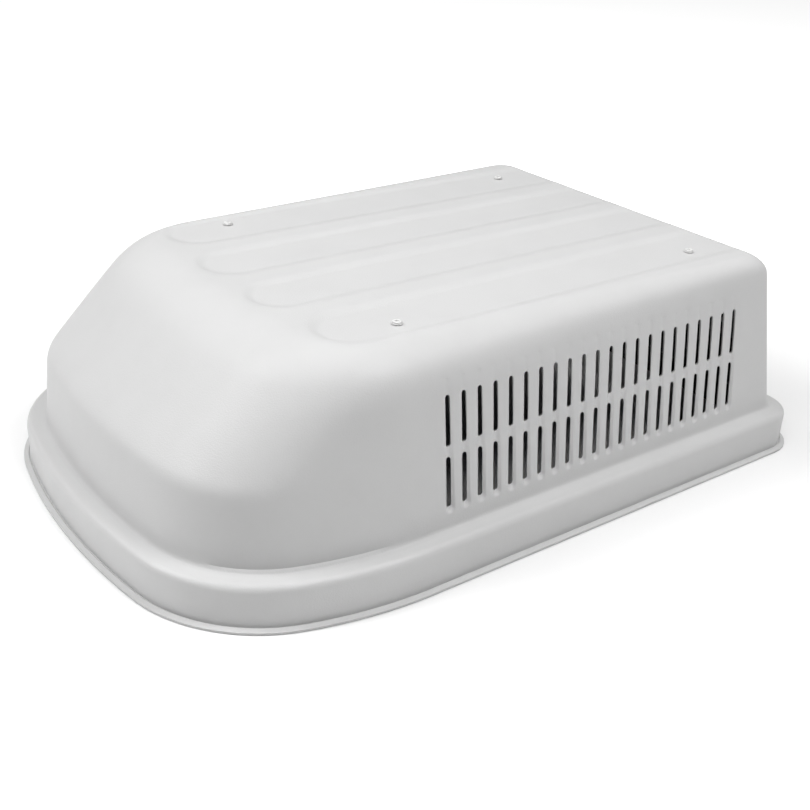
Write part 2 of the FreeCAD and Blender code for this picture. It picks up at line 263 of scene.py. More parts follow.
def half_points(plan):
    """The near half's points, in the same order and number for every outline."""
    columns = side_columns()
    headings = [0.0] + spread(0.0, plan.turn[0], BOW_STEPS)
    headings += spread(plan.turn[0], HALF_TURN, CORNER_STEPS)
    headings += spread(HALF_TURN, plan.turn[1], CORNER_STEPS_2)
    headings += spread(plan.turn[1], plan.side, BLEND_STEPS)
    points = [plan.front(h) for h in headings]
    start = points[-1][0]
    points += [plan.side_at(x) for x in spread(start, columns[0], LEAD_STEPS)]
    points += [plan.side_at(x) for x in columns[1:]]
    corner_x = plan.rear_arc(plan.side)[0]
    points += [plan.side_at(x) for x in spread(columns[-1], corner_x, TAIL_STEPS)]
    quarter = math.pi - HALF_TURN
    points += [plan.rear_arc(h) for h in spread(plan.side, quarter, REAR_TURN_STEPS)]
    points += [plan.rear_arc(h) for h in spread(quarter, math.pi, REAR_TURN_STEPS)]
    points += [(plan.rear, y) for y in spread(plan.rear_r - plan.half_rear, 0.0, REAR_STEPS)]
    return points


def rounding(z, top, radius):
    """Inset of a rounded top edge at height z."""
    share = min(max((z - top + radius) / radius, 0.0), 1.0)
    return radius * (1.0 - math.sqrt(1.0 - share * share))


def nose_at(z):
    """X of the nose's middle at height z: leaning wall, soft shoulder, slope, round into the top."""
    s = bpy.context.scene.cover_shell
    top = SHELL_HIGH.z
    foot = SHELL_LOW.x + s.flange + s.ledge
    wall = foot + s.nose_draft * (min(z, s.shoulder_z) - s.ledge_z)
    round_z = top - s.slope_round * (1.0 - math.cos(s.slope))
    past = (min(z, round_z) - s.shoulder_z) / s.shoulder_soft
    run = s.shoulder_soft * (math.log1p(math.exp(past)) if past < 30.0 else past)
    x = wall + run / math.tan(s.slope)
    if z > round_z:
        rise = z - (top - s.slope_round)
        flat = math.sqrt(max(s.slope_round ** 2 - rise * rise, 0.0))
        x = x + s.slope_round * math.sin(s.slope) - flat
    return x


def wall_plan(z):
    """Outline of the wall at height z."""
    s = bpy.context.scene.cover_shell
    top = SHELL_HIGH.z
    rise = z - s.ledge_z
    foot = s.flange + s.ledge
    half = SHELL_HIGH.y - foot - s.side_draft * rise
    half_front = half - rounding(z, top, s.round_front)
    half_rear = half - rounding(z, top, s.round_rear)
    rear = SHELL_HIGH.x - foot - s.rear_draft * rise - rounding(z, top, s.round_rear)
    bow = s.bow - foot - s.nose_draft * (s.shoulder_z - s.ledge_z)
    corner = s.corner - foot - s.side_draft * (min(z, s.shoulder_z) - s.ledge_z)
    start = top - s.round_front
    if z > start:
        sines = [math.sin(s.bow_turn), math.sin(s.corner_turn)]
        half_start = SHELL_HIGH.y - foot - s.side_draft * (start - s.ledge_z)
        reach = bow * sines[0] + corner * (sines[1] - sines[0])
        ratio = (half_start - reach) / (1.0 - sines[1]) / corner
        ratio = ratio + (s.hip_ratio - ratio) * (z - start) / (top - start)
        corner = (half_front - bow * sines[0]) / (sines[1] - sines[0] + ratio * (1.0 - sines[1]))
    return Outline(nose_at(z), bow, corner, half_front, half_rear, rear, s.rear_corner - foot)


def base_plan(inset):
    """Outline of the flange, moved inwards by inset."""
    s = bpy.context.scene.cover_shell
    half = SHELL_HIGH.y - inset
    return Outline(SHELL_LOW.x + inset, s.bow - inset, s.corner - inset, half, half,
                   SHELL_HIGH.x - inset, s.rear_corner - inset)


# ======== the shell's outer skin
# Heights of the wall's rings, closer together where the wall bends.  Side and rear wall are cut out
# between LOW_ROW and HIGH_ROW.
LOW_ROW, HIGH_ROW = 0.07, 0.244
SHOULDER_ROWS = [0.09, 0.11, 0.128, 0.138, 0.144, 0.148, 0.151, 0.154, 0.158, 0.164]
SLOPE_ROWS = [0.176, 0.192, 0.208, 0.224, 0.234]
EDGE_ROWS = [0.252, 0.259, 0.265, 0.27, 0.2745, 0.278, 0.2805, 0.2823, 0.2834, 0.2839]


def levels():
    """(height, half outline) of every ring, from the flange's rim to the edge of the top."""
    s = bpy.context.scene.cover_shell
    rows = [(s.sheet, base_plan(inset)) for inset in (0.0, s.flange / 3.0)]
    for turn in spread(math.pi / 2.0, 0.0, 4):
        inset = s.flange - s.flange_root * math.sin(turn)
        rows.append((s.sheet + s.flange_root * (1.0 - math.cos(turn)), base_plan(inset)))
    straight = s.ledge_z - s.ledge_round
    rows += [(z, base_plan(s.flange)) for z in spread(rows[-1][0], straight, 3)]
    for turn in spread(0.0, math.pi / 2.0, 7):
        inset = s.flange + s.ledge_round * (1.0 - math.cos(turn))
        rows.append((straight + s.ledge_round * math.sin(turn), base_plan(inset)))
    foot = s.flange + s.ledge
    rows.append((s.ledge_z, base_plan(foot - 1.6 * s.ledge_root)))
    for turn in spread(0.0, math.pi / 2.0, 4)[:-1]:
        inset = foot - s.ledge_root * (1.0 - math.sin(turn))
        rows.append((s.ledge_z + s.ledge_root * (1.0 - math.cos(turn)), base_plan(inset)))
    wall = [s.ledge_z + s.ledge_root, LOW_ROW] + SHOULDER_ROWS + SLOPE_ROWS + [HIGH_ROW]
    wall += EDGE_ROWS + [SHELL_HIGH.z]
    return rows + [(z, wall_plan(z)) for z in wall]


def smooth_step(value):
    value = min(max(value, 0.0), 1.0)
    return value * value * (3.0 - 2.0 * value)


def panel_drop(x, y):
    """How far the top is sunk at a point by the recessed panels."""
    p = bpy.context.scene.cover_panels
    outer_low = p.rib_pitch + p.rib_width / 2.0
    panels = ((p.rib_pitch / 2.0, (p.rib_pitch - p.rib_width) / 2.0, p.inner_x),
              ((outer_low + p.border) / 2.0, (p.border - outer_low) / 2.0, p.outer_x))
    drop = 0.0
    for place, half, front in panels:
        off = abs(y) - place
        reach = math.hypot(off, x - front) if x < front else abs(off)
        drop = max(drop, smooth_step((half + p.edge / 2.0 - reach) / p.edge))
    return drop * p.depth


def sink(point):
    """A point of the top's surface, lowered into a panel where it stands above the panel's floor."""
    floor = SHELL_HIGH.z - panel_drop(point[0], point[1])
    return (point[0], point[1], min(point[2], floor))


def skin_points():
    """Rings of the whole outline, and the number of points of a half ring."""
    rings = []
    for z, plan in levels():
        half = half_points(plan)
        far = [(x, -y) for x, y in reversed(half[1:-1])]
        rings.append([sink((x, y, z)) for x, y in half + far])
    return rings, len(half)


def top_grid(ring, half_count):
    """Rows of points of the flat top, laid between the four stretches of its edge."""
    fronts = BOW_STEPS + CORNER_STEPS
    rears = REAR_TURN_STEPS + REAR_STEPS
    across = 2 * fronts
    along = half_count - 1 - fronts - rears
    count = len(ring)
    front = [ring[(fronts - m) % count] for m in range(across + 1)]
    rear = [ring[fronts + along + m] for m in range(across + 1)]
    near = [ring[fronts + k] for k in range(along + 1)]
    far = [ring[(count - fronts - k) % count] for k in range(along + 1)]
    grid = []
    total = near[-1][0] - near[0][0]
    for k in range(along + 1):
        v = (near[k][0] - near[0][0]) / total
        row = []
        for m in range(across + 1):
            u = (rear[m][1] - rear[0][1]) / (rear[-1][1] - rear[0][1])
            point = []
            for axis in (0, 1):
                edges = (1 - v) * front[m][axis] + v * rear[m][axis]
                edges += (1 - u) * near[k][axis] + u * far[k][axis]
                corners = (1 - v) * ((1 - u) * front[0][axis] + u * front[-1][axis])
                corners += v * ((1 - u) * rear[0][axis] + u * rear[-1][axis])
                point.append(edges - corners)
            row.append(sink((point[0], point[1], SHELL_HIGH.z)))
        grid.append(row)
    return grid


# ======== louvres
def wall_y(z):
    """Distance of the side wall from the middle plane, below its rounded top edge."""
    s = bpy.context.scene.cover_shell
    return SHELL_HIGH.y - s.flange - s.ledge - s.side_draft * (z - s.ledge_z)


def flute_depth(off, z):
    """Depth of the groove at a distance off from its column's middle."""
    v = bpy.context.scene.cover_louvres
    low = v.slot_z + v.flute - v.flute_below
    high = v.slot_z + 2.0 * v.slot_length + v.slot_gap + v.flute_above
    share = min(max((z - low) / (high - low), 0.0), 1.0)
    out = v.flute - v.flute_depth * (1.0 - share)
    below = min(z - low, 0.0)
    inside = v.flute ** 2 - off * off - below * below
    depth = (math.sqrt(inside) if inside > 0.0 else 0.0) - out
    soft = 0.5 * (depth + math.sqrt(depth * depth + v.soft ** 2))
    fade = smooth_step((v.flute + v.soft - math.hypot(off, below)) / v.soft)
    return soft * fade


FLUTE_FOOT_ROWS = [0.0735, 0.0750, 0.0762, 0.0775, 0.079, 0.0805]    # heights round a groove's low end
FLUTE_EDGE = (0.0, 0.2, 0.42, 0.66, 0.84, 1.0)     # columns from a slot's edge out to its groove's edge
ROW_GAP = 0.0015                                   # between the louvres' rows and the wall's rings


def flute_cell():
    """One column of the near side at x = 0: a strip of wall with its groove and two slots."""
    v = bpy.context.scene.cover_louvres
    half = v.slot_width / 2.0
    arc = [half * share for share in (0.5, 0.866)]
    outside = [half + (v.flute + v.soft - half) * share for share in FLUTE_EDGE]
    right = [0.0] + arc + outside
    offs = [-x for x in reversed(right[1:])] + right
    edge = {round(x, 6): half - math.sqrt(max(half * half - x * x, 0.0)) for x in [0.0] + arc}
    starts = [v.slot_z, v.slot_z + v.slot_length + v.slot_gap]
    rows = [(z, 0) for z in [LOW_ROW + ROW_GAP] + FLUTE_FOOT_ROWS]
    for start in starts:
        end = start + v.slot_length
        rows.append((start, 1))
        rows += [(z, 2) for z in spread(start, start + half, 1)]
        rows += [(z, 2) for z in spread(start + half, end - half, 6)]
        rows.append((end, -1))
        if start == starts[0]:
            rows += [(z, 0) for z in spread(end, starts[1], 4)[:-1]]
    rows += [(z, 0) for z in spread(rows[-1][0], HIGH_ROW - ROW_GAP, 6)]
    bm = bmesh.new()
    grid = []
    for z, kind in rows:
        line = []
        for off in offs:
            shift = edge.get(round(abs(off), 6), 0.0) * kind if kind in (1, -1) else 0.0
            height = z + shift
            line.append(bm.verts.new((off, flute_depth(off, height) - wall_y(height), height)))
        grid.append(line)
    slot_columns = [k for k in range(len(offs) - 1)
                    if max(abs(offs[k]), abs(offs[k + 1])) < half + 1e-6]
    kinds = [kind for z, kind in rows]
    for low, high, kind, above in zip(grid, grid[1:], kinds, kinds[1:]):
        for k in range(len(offs) - 1):
            quad = [low[k], low[k + 1], high[k + 1], high[k]]
            if k in slot_columns and (kind == 2 or kind == 1):
                if k not in (slot_columns[0], slot_columns[-1]) or (kind == 2 and above == 2):
                    continue
                outer = k == slot_columns[0]
                if kind == 1:
                    quad = [low[k], low[k + 1], high[k]] if outer else [low[k], low[k + 1], high[k + 1]]
                else:
                    quad = [low[k], high[k + 1], high[k]] if outer else [low[k + 1], high[k + 1], high[k]]
            bm.faces.new(quad)
    return add_object("flute_cell", to_mesh(bm, "flute_cell"))


# ======== geometry nodes helpers
def new_tree(name, inputs):
    """A geometry node tree with a geometry input and output and these float or int inputs."""
    tree = bpy.data.node_groups.new(name, "GeometryNodeTree")
    tree.interface.new_socket("Geometry", in_out="INPUT", socket_type="NodeSocketGeometry")
    for label, kind, default in inputs:
        socket = tree.interface.new_socket(label, in_out="INPUT", socket_type="NodeSocket" + kind)
        if default is not None:
            socket.default_value = default
    tree.interface.new_socket("Geometry", in_out="OUTPUT", socket_type="NodeSocketGeometry")
    return tree, tree.nodes.new("NodeGroupInput"), tree.nodes.new("NodeGroupOutput")


def link(tree, *pairs):
    """Joins each (output, input) pair."""
    for outlet, inlet in pairs:
        tree.links.new(outlet, inlet)


def finish_tree(tree, source, geometry, outgoing):
    """Ends a tree in Realize Instances and Set Material."""
    realize = tree.nodes.new("GeometryNodeRealizeInstances")
    paint = tree.nodes.new("GeometryNodeSetMaterial")
    link(tree, (geometry, realize.inputs[0]), (realize.outputs[0], paint.inputs["Geometry"]),
         (source.outputs["Material"], paint.inputs["Material"]),
         (paint.outputs[0], outgoing.inputs[0]))


def run_tree(obj, tree, values):
    """Plain mesh of obj under the tree, with its named inputs set by their identifiers."""
    modifier = obj.modifiers.new(tree.name, "NODES")
    modifier.node_group = tree
    for item in tree.interface.items_tree:
        if item.item_type == "SOCKET" and item.in_out == "INPUT" and item.name in values:
            modifier[item.identifier] = values[item.name]
    mesh = evaluated_mesh(obj)
    obj.modifiers.remove(modifier)
    return mesh


def row_tree():
    """Repeats the incoming piece along X: inputs Count, Pitch and Start."""
    inputs = [("Count", "Int", 22), ("Pitch", "Float", 0.024), ("Start", "Float", 0.0),
              ("Material", "Material", None)]
    tree, source, outgoing = new_tree("louvre_row", inputs)
    given = source.outputs
    step = tree.nodes.new("ShaderNodeCombineXYZ")
    start = tree.nodes.new("ShaderNodeCombineXYZ")
    line = tree.nodes.new("GeometryNodeMeshLine")
    instances = tree.nodes.new("GeometryNodeInstanceOnPoints")
    link(tree, (given["Pitch"], step.inputs["X"]), (given["Start"], start.inputs["X"]),
         (given["Count"], line.inputs["Count"]), (start.outputs[0], line.inputs["Start Location"]),
         (step.outputs[0], line.inputs["Offset"]), (line.outputs[0], instances.inputs["Points"]),
         (given["Geometry"], instances.inputs["Instance"]))
    finish_tree(tree, source, instances.outputs[0], outgoing)
    return tree


def helix_tree():
    """A thread ridge: inputs Turns, Length, Radius and Depth."""
    inputs = [("Turns", "Float", 20.0), ("Length", "Float", 0.025), ("Radius", "Float", 0.003),
              ("Depth", "Float", 0.0006), ("Material", "Material", None)]
    tree, source, outgoing = new_tree("screw_thread", inputs)
    given = source.outputs
    spiral = tree.nodes.new("GeometryNodeCurveSpiral")
    spiral.inputs["Resolution"].default_value = 20
    section = tree.nodes.new("GeometryNodeCurvePrimitiveCircle")
    section.inputs["Resolution"].default_value = 4
    sweep = tree.nodes.new("GeometryNodeCurveToMesh")
    sweep.inputs["Fill Caps"].default_value = True
    link(tree, (given["Turns"], spiral.inputs["Rotations"]), (given["Length"], spiral.inputs["Height"]),
         (given["Radius"], spiral.inputs["Start Radius"]), (given["Radius"], spiral.inputs["End Radius"]),
         (given["Depth"], section.inputs["Radius"]), (spiral.outputs[0], sweep.inputs["Curve"]),
         (section.outputs[0], sweep.inputs["Profile Curve"]))
    finish_tree(tree, source, sweep.outputs[0], outgoing)
    return tree


# ======== materials
def new_material(name, base, roughness):
    """Node tree, shader and object coordinates of a new material."""
    material = bpy.data.materials.new(name)
    material.use_nodes = True
    shader = material.node_tree.nodes["Principled BSDF"]
    shader.inputs["Base Color"].default_value = (*base, 1.0)
    shader.inputs["Roughness"].default_value = roughness
    where = material.node_tree.nodes.new("ShaderNodeTexCoord").outputs["Object"]
    return material.node_tree, shader, where


def noise(tree, coordinates, scale, detail):
    node = tree.nodes.new("ShaderNodeTexNoise")
    node.inputs["Scale"].default_value = scale
    node.inputs["Detail"].default_value = detail
    tree.links.new(coordinates, node.inputs["Vector"])
    return node.outputs["Fac"]


def tint(tree, shader, amount, base, spread_by):
    """Base colour that wanders round base by spread_by with the amount."""
    ramp = tree.nodes.new("ShaderNodeValToRGB")
    for stop, place, change in zip(ramp.color_ramp.elements, (0.3, 0.7), (-spread_by, spread_by)):
        stop.position = place
        stop.color = (*(min(c * (1.0 + change), 1.0) for c in base), 1.0)
    link(tree, (amount, ramp.inputs[0]), (ramp.outputs[0], shader.inputs["Base Color"]))


def vary_roughness(tree, shader, amount, low, high):
    span = tree.nodes.new("ShaderNodeMapRange")
    span.inputs["To Min"].default_value = low
    span.inputs["To Max"].default_value = high
    link(tree, (amount, span.inputs["Value"]), (span.outputs[0], shader.inputs["Roughness"]))


def bump(tree, shader, height, strength, distance):
    node = tree.nodes.new("ShaderNodeBump")
    node.inputs["Strength"].default_value = strength
    node.inputs["Distance"].default_value = distance
    link(tree, (height, node.inputs["Height"]), (node.outputs[0], shader.inputs["Normal"]))


def add(tree, first, second, share):
    """first plus share times second."""
    node = tree.nodes.new("ShaderNodeMath")
    node.operation = "MULTIPLY_ADD"
    node.inputs[1].default_value = share
    link(tree, (second, node.inputs[0]), (first, node.inputs[2]))
    return node.outputs[0]


def grained_plastic(name, base, low, high):
    """Thermoformed sheet: a fine pebble grain, faint mottling and slightly uneven gloss."""
    tree, shader, where = new_material(name, base, (low + high) / 2.0)
    pebble = tree.nodes.new("ShaderNodeTexVoronoi")
    pebble.feature = "SMOOTH_F1"
    pebble.inputs["Scale"].default_value = 620.0
    pebble.inputs["Smoothness"].default_value = 0.6
    tree.links.new(where, pebble.inputs["Vector"])
    fine = noise(tree, where, 900.0, 3.0)
    grain = add(tree, pebble.outputs["Distance"], fine, 0.6)
    tint(tree, shader, add(tree, noise(tree, where, 14.0, 4.0), fine, 0.25), base, 0.015)
    vary_roughness(tree, shader, noise(tree, where, 30.0, 3.0), low, high)
    bump(tree, shader, grain, 0.5, 0.00025)
    shader.inputs["Specular IOR Level"].default_value = 0.4


def cut_edge(base):
    """Routed edge of the sheet: plastic with fine saw marks, coloured a touch darker than the sheet as
    painted shade on the cut walls.
    """
    tree, shader, where = new_material("saw_marked_shaded_edge", base, 0.5)
    marks = noise(tree, where, 500.0, 2.0)
    tint(tree, shader, marks, base, 0.03)
    bump(tree, shader, marks, 0.3, 0.0002)


def coated_steel(name, base):
    """Powder-coated steel: a fine orange peel."""
    tree, shader, where = new_material(name, base, 0.4)
    peel = noise(tree, where, 1400.0, 2.0)
    tint(tree, shader, noise(tree, where, 300.0, 3.0), base, 0.03)
    vary_roughness(tree, shader, peel, 0.3, 0.45)
    bump(tree, shader, peel, 0.25, 0.00015)


def moulded_rubber(name, base):
    tree, shader, where = new_material(name, base, 0.7)
    pores = noise(tree, where, 700.0, 4.0)
    tint(tree, shader, noise(tree, where, 90.0, 4.0), base, 0.12)
    vary_roughness(tree, shader, pores, 0.6, 0.85)
    bump(tree, shader, pores, 0.4, 0.0003)


def open_foam(base):
    """Open-cell foam: dark pores between paler cell walls."""
    tree, shader, where = new_material("open_foam", base, 0.9)
    cells = tree.nodes.new("ShaderNodeTexVoronoi")
    cells.inputs["Scale"].default_value = 520.0
    tree.links.new(where, cells.inputs["Vector"])
    tint(tree, shader, cells.outputs["Distance"], base, 0.5)
    bump(tree, shader, cells.outputs["Distance"], 0.8, 0.0008)
    shader.inputs["Sheen Weight"].default_value = 0.2
    shader.inputs["Sheen Roughness"].default_value = 0.6


def studio_floor(base, glow):
    """Pale floor with painted light: an emission that brightens it towards the far rear, in place of a
    lamp-lit sweep of paper.
    """
    tree, shader, where = new_material("studio_floor", base, 0.8)
    tint(tree, shader, noise(tree, where, 3.0, 2.0), base, 0.004)
    reach = tree.nodes.new("ShaderNodeVectorMath")
    reach.operation = "DOT_PRODUCT"
    reach.inputs[1].default_value = (0.6, 0.8, 0.0)
    tree.links.new(where, reach.inputs[0])
    rise = tree.nodes.new("ShaderNodeMapRange")
    rise.interpolation_type = "SMOOTHSTEP"
    rise.inputs["From Min"].default_value = 0.1
    rise.inputs["From Max"].default_value = 1.8
    rise.inputs["To Max"].default_value = glow
    tree.links.new(reach.outputs["Value"], rise.inputs["Value"])
    # Painted light: the floor glows by emission, stronger towards the far rear.
    shader.inputs["Emission Color"].default_value = (1.0, 1.0, 1.0, 1.0)
    tree.links.new(rise.outputs["Result"], shader.inputs["Emission Strength"])


def finishes():
    """Every finish of the cover, made once."""
    if "moulded_white" not in bpy.data.materials:
        f = bpy.context.scene.cover_finishes
        grained_plastic("moulded_white", f.plastic, 0.42, 0.55)
        # Back of the sheet: black-backed sheet, and painted shade inside the shell.
        grained_plastic("black_back_and_inner_shade", f.back_and_inner_shade, 0.5, 0.65)
        # The edges' colour is the sheet's darkened to 0.95: painted shade on the cut walls.
        cut_edge(tuple(c * 0.95 for c in f.plastic))
        coated_steel("powder_coat", f.coating)
        coated_steel("washer_coat", f.washer)
        # Near-black socket material: painted shade inside the hexagon sockets.
        coated_steel("socket_painted_shade", f.recess)
        moulded_rubber("pale_rubber", f.pale_rubber)
        moulded_rubber("black_rubber", f.black_rubber)
        open_foam(f.foam)
        studio_floor(f.floor, f.floor_painted_light)
    return bpy.data.materials


# ======== mesh helpers
def add_piece(name, mesh, materials):
    obj = add_object(name, mesh)
    mesh.materials.clear()
    for material in materials:
        mesh.materials.append(material)
    return obj


def shade(mesh, limit):
    """Smooth shading with edges sharper than limit kept crisp."""
    bm = bmesh.new()
    bm.from_mesh(mesh)
    for face in bm.faces:
        face.smooth = True
    for edge in bm.edges:
        edge.smooth = not (edge.is_manifold and edge.calc_face_angle(0.0) > limit)
    bm.to_mesh(mesh)
    bm.free()


def settle(obj):
    """Turns the object's modifiers into its mesh."""
    mesh = evaluated_mesh(obj)
    obj.modifiers.clear()
    obj.data = mesh


# ======== building the shell
def lay_rings(bm, rings, half_count):
    """Faces between the rings, except where side walls and rear wall are cut out."""
    count = len(rings[0])
    verts = [[bm.verts.new(p) for p in ring] for ring in rings]
    lead = BOW_STEPS + CORNER_STEPS + CORNER_STEPS_2 + BLEND_STEPS + LEAD_STEPS
    louvred = range(lead, lead + 2 * bpy.context.scene.cover_louvres.count)
    p = bpy.context.scene.cover_panels
    low = [k for k, ring in enumerate(rings) if ring[0][2] >= LOW_ROW - 1e-6][0]
    high = [k for k, ring in enumerate(rings) if ring[0][2] <= HIGH_ROW + 1e-6][-1]
    clear = p.open_half + p.open_corner / 2.0
    reared = [k for k in range(half_count - REAR_STEPS - 1, half_count - 1)
              if abs(rings[low][k][1]) < clear]
    cut = set(louvred) | set(reared)
    cut |= {2 * (half_count - 1) - 1 - k for k in cut}
    for row in range(len(rings) - 1):
        for k in range(count):
            if low <= row < high and k in cut:
                continue
            n = (k + 1) % count
            bm.faces.new([verts[row][k], verts[row][n], verts[row + 1][n], verts[row + 1][k]])
    return verts


def lay_top(bm, verts, rings, half_count):
    """Faces of the top, sewn to the last ring."""
    grid = top_grid(rings[-1], half_count)
    rows = [[bm.verts.new(p) for p in row] for row in grid]
    for low, high in zip(rows, rows[1:]):
        for k in range(len(low) - 1):
            bm.faces.new([low[k], high[k], high[k + 1], low[k + 1]])
    bmesh.ops.remove_doubles(bm, verts=[v for row in rows for v in row] + verts[-1], dist=1e-6)


def opening_loop():
    """Points of the rear opening's edge, round its corners, in Y and Z."""
    p = bpy.context.scene.cover_panels
    steps = 8
    points = []
    for side, top, start in ((1, 1, 0.0), (-1, 1, 90.0), (-1, -1, 180.0), (1, -1, 270.0)):
        y = side * (p.open_half - p.open_corner)
        z = (p.open_high - p.open_corner) if top > 0 else (p.open_low + p.open_corner)
        for k in range(steps + 1):
            turn = math.radians(start + 90.0 * k / steps)
            points.append((y + p.open_corner * math.cos(turn), z + p.open_corner * math.sin(turn)))
    return points


def rear_x(z):
    return wall_plan(z).rear


def fill_between(bm, edges, direction):
    """Fills the flat region between boundary loops and turns its faces to the direction."""
    made = bmesh.ops.triangle_fill(bm, use_beauty=True, use_dissolve=False, edges=edges)
    for face in [g for g in made["geom"] if isinstance(g, bmesh.types.BMFace)]:
        face.normal_update()
        if face.normal.dot(direction) < 0.0:
            face.normal_flip()


def border_edges(bm, test):
    return [e for e in bm.edges if e.is_boundary and all(test(v.co) for v in e.verts)]


def add_rear_edge(bm):
    """Edge of the rear opening, and the wall round it."""
    loop = [bm.verts.new((rear_x(z), y, z)) for y, z in opening_loop()]
    edges = [bm.edges.new((a, b)) for a, b in zip(loop, loop[1:] + loop[:1])]
    rim = border_edges(bm, lambda c: c.x > 0.4 and LOW_ROW - 1e-5 < c.z < HIGH_ROW + 1e-5)
    fill_between(bm, edges + rim, Vector((1, 0, 0)))


def add_louvres(bm, mesh, side):
    """Louvre columns of one side and the wall round them; side is -1 near and 1 far."""
    before = set(bm.verts)
    bm.from_mesh(mesh)
    fresh = [v for v in bm.verts if v not in before]
    columns = side_columns()
    plans = {}
    for vert in fresh:
        z = round(vert.co.z, 5)
        if z not in plans:
            plans[z] = wall_plan(z)
        vert.co.y += wall_y(vert.co.z) + plans[z].side_at(vert.co.x)[1]
        if side > 0:
            vert.co.y = -vert.co.y
    if side > 0:
        made = set(fresh)
        bmesh.ops.reverse_faces(bm, faces=[f for f in bm.faces if f.verts[0] in made])
    limits = (columns[0] - 1e-5, columns[-1] + 1e-5)
    v = bpy.context.scene.cover_louvres

    def on_wall(co):
        if co.y * side < 0.0 or not limits[0] < co.x < limits[1]:
            return False
        if not LOW_ROW - 1e-5 < co.z < HIGH_ROW + 1e-5:
            return False
        off = abs((co.x - v.first + v.pitch / 2.0) % v.pitch - v.pitch / 2.0)
        inner = LOW_ROW + 0.002 < co.z < HIGH_ROW - 0.002
        return not (inner and off < v.slot_width / 2.0 + 1e-5)

    fill_between(bm, border_edges(bm, on_wall), Vector((0, side, 0)))


def cut_holes(obj):
    """Screw holes through the top, with clean round edges."""
    radius = bpy.context.scene.cover_fixings.hole
    bm = bmesh.new()
    for corner in CORNERS:
        place = middle("screw_" + corner)
        where = Matrix.Translation((place.x, place.y, SHELL_HIGH.z))
        bmesh.ops.create_cone(bm, cap_ends=True, segments=40, radius1=radius, radius2=radius,
                              depth=0.04, matrix=where)
    mesh = to_mesh(bm, "hole_cutters")
    cutter = add_object("hole_cutters", mesh)
    modifier = obj.modifiers.new("holes", "BOOLEAN")
    modifier.object = cutter
    modifier.solver = "EXACT"
    settle(obj)
    bpy.data.objects.remove(cutter)
    bpy.data.meshes.remove(mesh)


def build_shell():
    s = bpy.context.scene.cover_shell
    v = bpy.context.scene.cover_louvres
    stock = finishes()
    cell = flute_cell()
    row = run_tree(cell, row_tree(), {"Count": v.count, "Pitch": v.pitch, "Start": v.first,
                                      "Material": stock["moulded_white"]})
    bpy.data.objects.remove(cell)
    rings, half_count = skin_points()
    bm = bmesh.new()
    verts = lay_rings(bm, rings, half_count)
    lay_top(bm, verts, rings, half_count)
    add_rear_edge(bm)
    add_louvres(bm, row, -1)
    add_louvres(bm, row, 1)
    layers = [stock["moulded_white"], stock["black_back_and_inner_shade"], stock["saw_marked_shaded_edge"]]
    obj = add_piece("cover_shell", to_mesh(bm, "cover_shell"), layers)
    solid = obj.modifiers.new("sheet", "SOLIDIFY")
    solid.thickness = s.sheet
    solid.offset = -1.0
    solid.use_even_offset = True
    # Inner faces take the near-black back: a black-backed sheet and painted shade inside the shell.
    solid.material_offset = 1
    # Rims of slots, holes, opening and flange take the slightly darker edge colour: painted shade.
    solid.material_offset_rim = 2
    settle(obj)
    for vert in obj.data.vertices:
        vert.co.z = max(vert.co.z, SHELL_LOW.z)
    cut_holes(obj)
    shade(obj.data, math.radians(38.0))
    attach(obj, "cover")
    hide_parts("shroud_shell")


# ======== turned parts
def circle(bm, radius, z, sides):
    """Ring of points about Z; the radius is a length or a function of the turn."""
    points = []
    for k in range(sides):
        turn = 2.0 * math.pi * k / sides
        reach = radius(turn) if callable(radius) else radius
        points.append(bm.verts.new((reach * math.cos(turn), reach * math.sin(turn), z)))
    return points


def bridge(bm, lower, upper, slot=0):
    """Faces between two rings of equally many points."""
    for k in range(len(lower)):
        n = (k + 1) % len(lower)
        bm.faces.new([lower[k], lower[n], upper[n], upper[k]]).material_index = slot


def turned(name, profile, sides):
    """Closed ring turned about Z from the (radius, height) points of its section."""
    bm = bmesh.new()
    rings = [circle(bm, radius, z, sides) for radius, z in profile]
    for low, high in zip(rings, rings[1:] + rings[:1]):
        bridge(bm, low, high)
    bmesh.ops.recalc_face_normals(bm, faces=bm.faces[:])
    return to_mesh(bm, name)


def ring_profile(outer, inner, low, high, soft):
    """Section of a flat ring with softened outer and inner edges."""
    section = []
    for cx, cz, start in ((outer - soft, low + soft, -90.0), (outer - soft, high - soft, 0.0),
                          (inner + soft, high - soft, 90.0), (inner + soft, low + soft, 180.0)):
        for k in range(5):
            turn = math.radians(start + 22.5 * k)
            section.append((cx + soft * math.cos(turn), cz + soft * math.sin(turn)))
    return section


def build_ring(name, node, bore, soft, material, body):
    """A washer or pad in place of its CAD node."""
    low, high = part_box(node)
    where = (low + high) / 2.0
    sides = bpy.context.scene.cover_fixings.sides
    mesh = turned(name, ring_profile((high.x - low.x) / 2.0, bore, low.z, high.z, soft), sides)
    mesh.transform(Matrix.Translation((where.x, where.y, 0.0)))
    obj = add_piece(name, mesh, [material])
    shade(mesh, math.radians(50.0))
    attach(obj, body)
    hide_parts(node)


